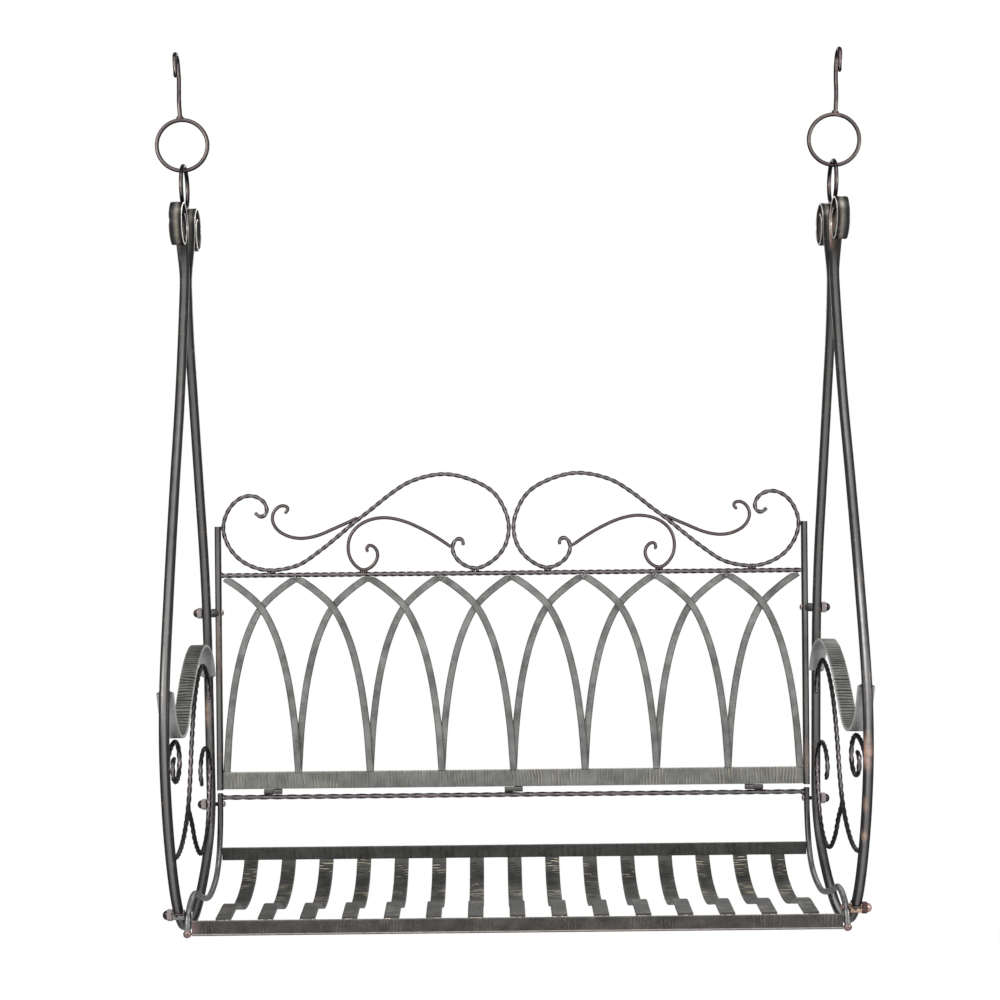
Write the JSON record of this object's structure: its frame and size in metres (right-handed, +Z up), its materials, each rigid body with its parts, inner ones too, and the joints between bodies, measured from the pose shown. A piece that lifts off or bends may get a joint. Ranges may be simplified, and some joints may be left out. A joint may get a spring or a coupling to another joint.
{
  "type": "hanging swing bench",
  "caption": "Wrought iron bench swing hung from two hooks, with teardrop side frames, twisted scrolls, interlaced arch back and a slatted seat.",
  "frame": {"origin": "midway between the two hook crowns, on the line on which the bench hangs", "axes": "+X to the viewer's right along the seat, +Y to the back, +Z up"},
  "size_m": [1.3396, 0.5618, 1.6304],
  "materials": {
    "dark_wire": "dark bronze paint with worn edges",
    "dark_bronze": "dark bronze paint, satin, copper showing at wear",
    "twisted_iron": "dark bronze paint on twisted square bar",
    "hammered_iron": "dark bronze paint over cross hammer marks",
    "satin_iron": "satin dark bronze paint",
    "rubbed_copper": "bronze paint rubbed to copper"
  },
  "bodies": {
    "hangers": {"hanger_left": "dark_wire", "hanger_right": "dark_wire"},
    "bench": {"frame_ring_left": "dark_wire", "front_leg_left": "dark_bronze", "rear_leg_left": "dark_bronze", "armrest_left": "hammered_iron", "long_scroll_left": "twisted_iron", "rear_scroll_left": "twisted_iron", "front_scroll_left": "twisted_iron", "upper_bolt_left": "rubbed_copper", "lower_bolt_left": "rubbed_copper", "front_bolt_left": "rubbed_copper", "post_left": "dark_bronze", "seat_side_left": "dark_bronze", "crest_scroll_left": "twisted_iron", "outer_crest_left": "dark_wire", "inner_crest_left": "dark_wire", "frame_ring_right": "dark_wire", "front_leg_right": "dark_bronze", "rear_leg_right": "dark_bronze", "armrest_right": "hammered_iron", "long_scroll_right": "twisted_iron", "rear_scroll_right": "twisted_iron", "front_scroll_right": "twisted_iron", "upper_bolt_right": "rubbed_copper", "lower_bolt_right": "rubbed_copper", "front_bolt_right": "rubbed_copper", "post_right": "dark_bronze", "seat_side_right": "dark_bronze", "crest_scroll_right": "twisted_iron", "outer_crest_right": "dark_wire", "inner_crest_right": "dark_wire", "arch_1": "satin_iron", "arch_2": "satin_iron", "arch_3": "satin_iron", "arch_4": "satin_iron", "arch_5": "satin_iron", "arch_6": "satin_iron", "arch_7": "satin_iron", "slat_01": "hammered_iron", "slat_02": "hammered_iron", "slat_03": "hammered_iron", "slat_04": "hammered_iron", "slat_05": "hammered_iron", "slat_06": "hammered_iron", "slat_07": "hammered_iron", "slat_08": "hammered_iron", "slat_09": "hammered_iron", "slat_10": "hammered_iron", "slat_11": "hammered_iron", "slat_12": "hammered_iron", "slat_13": "hammered_iron", "slat_14": "hammered_iron", "slat_15": "hammered_iron", "top_rail": "twisted_iron", "hinge_rod": "twisted_iron", "bottom_rail": "hammered_iron", "front_rail": "hammered_iron", "rear_rail": "hammered_iron"}
  },
  "joints": [
    {"name": "swing", "type": "hinge", "parent": "hangers", "child": "bench", "pos_m": [0, 0, -0.216], "axis": [1, 0, 0], "range_deg": [-40, 40]}
  ]
}
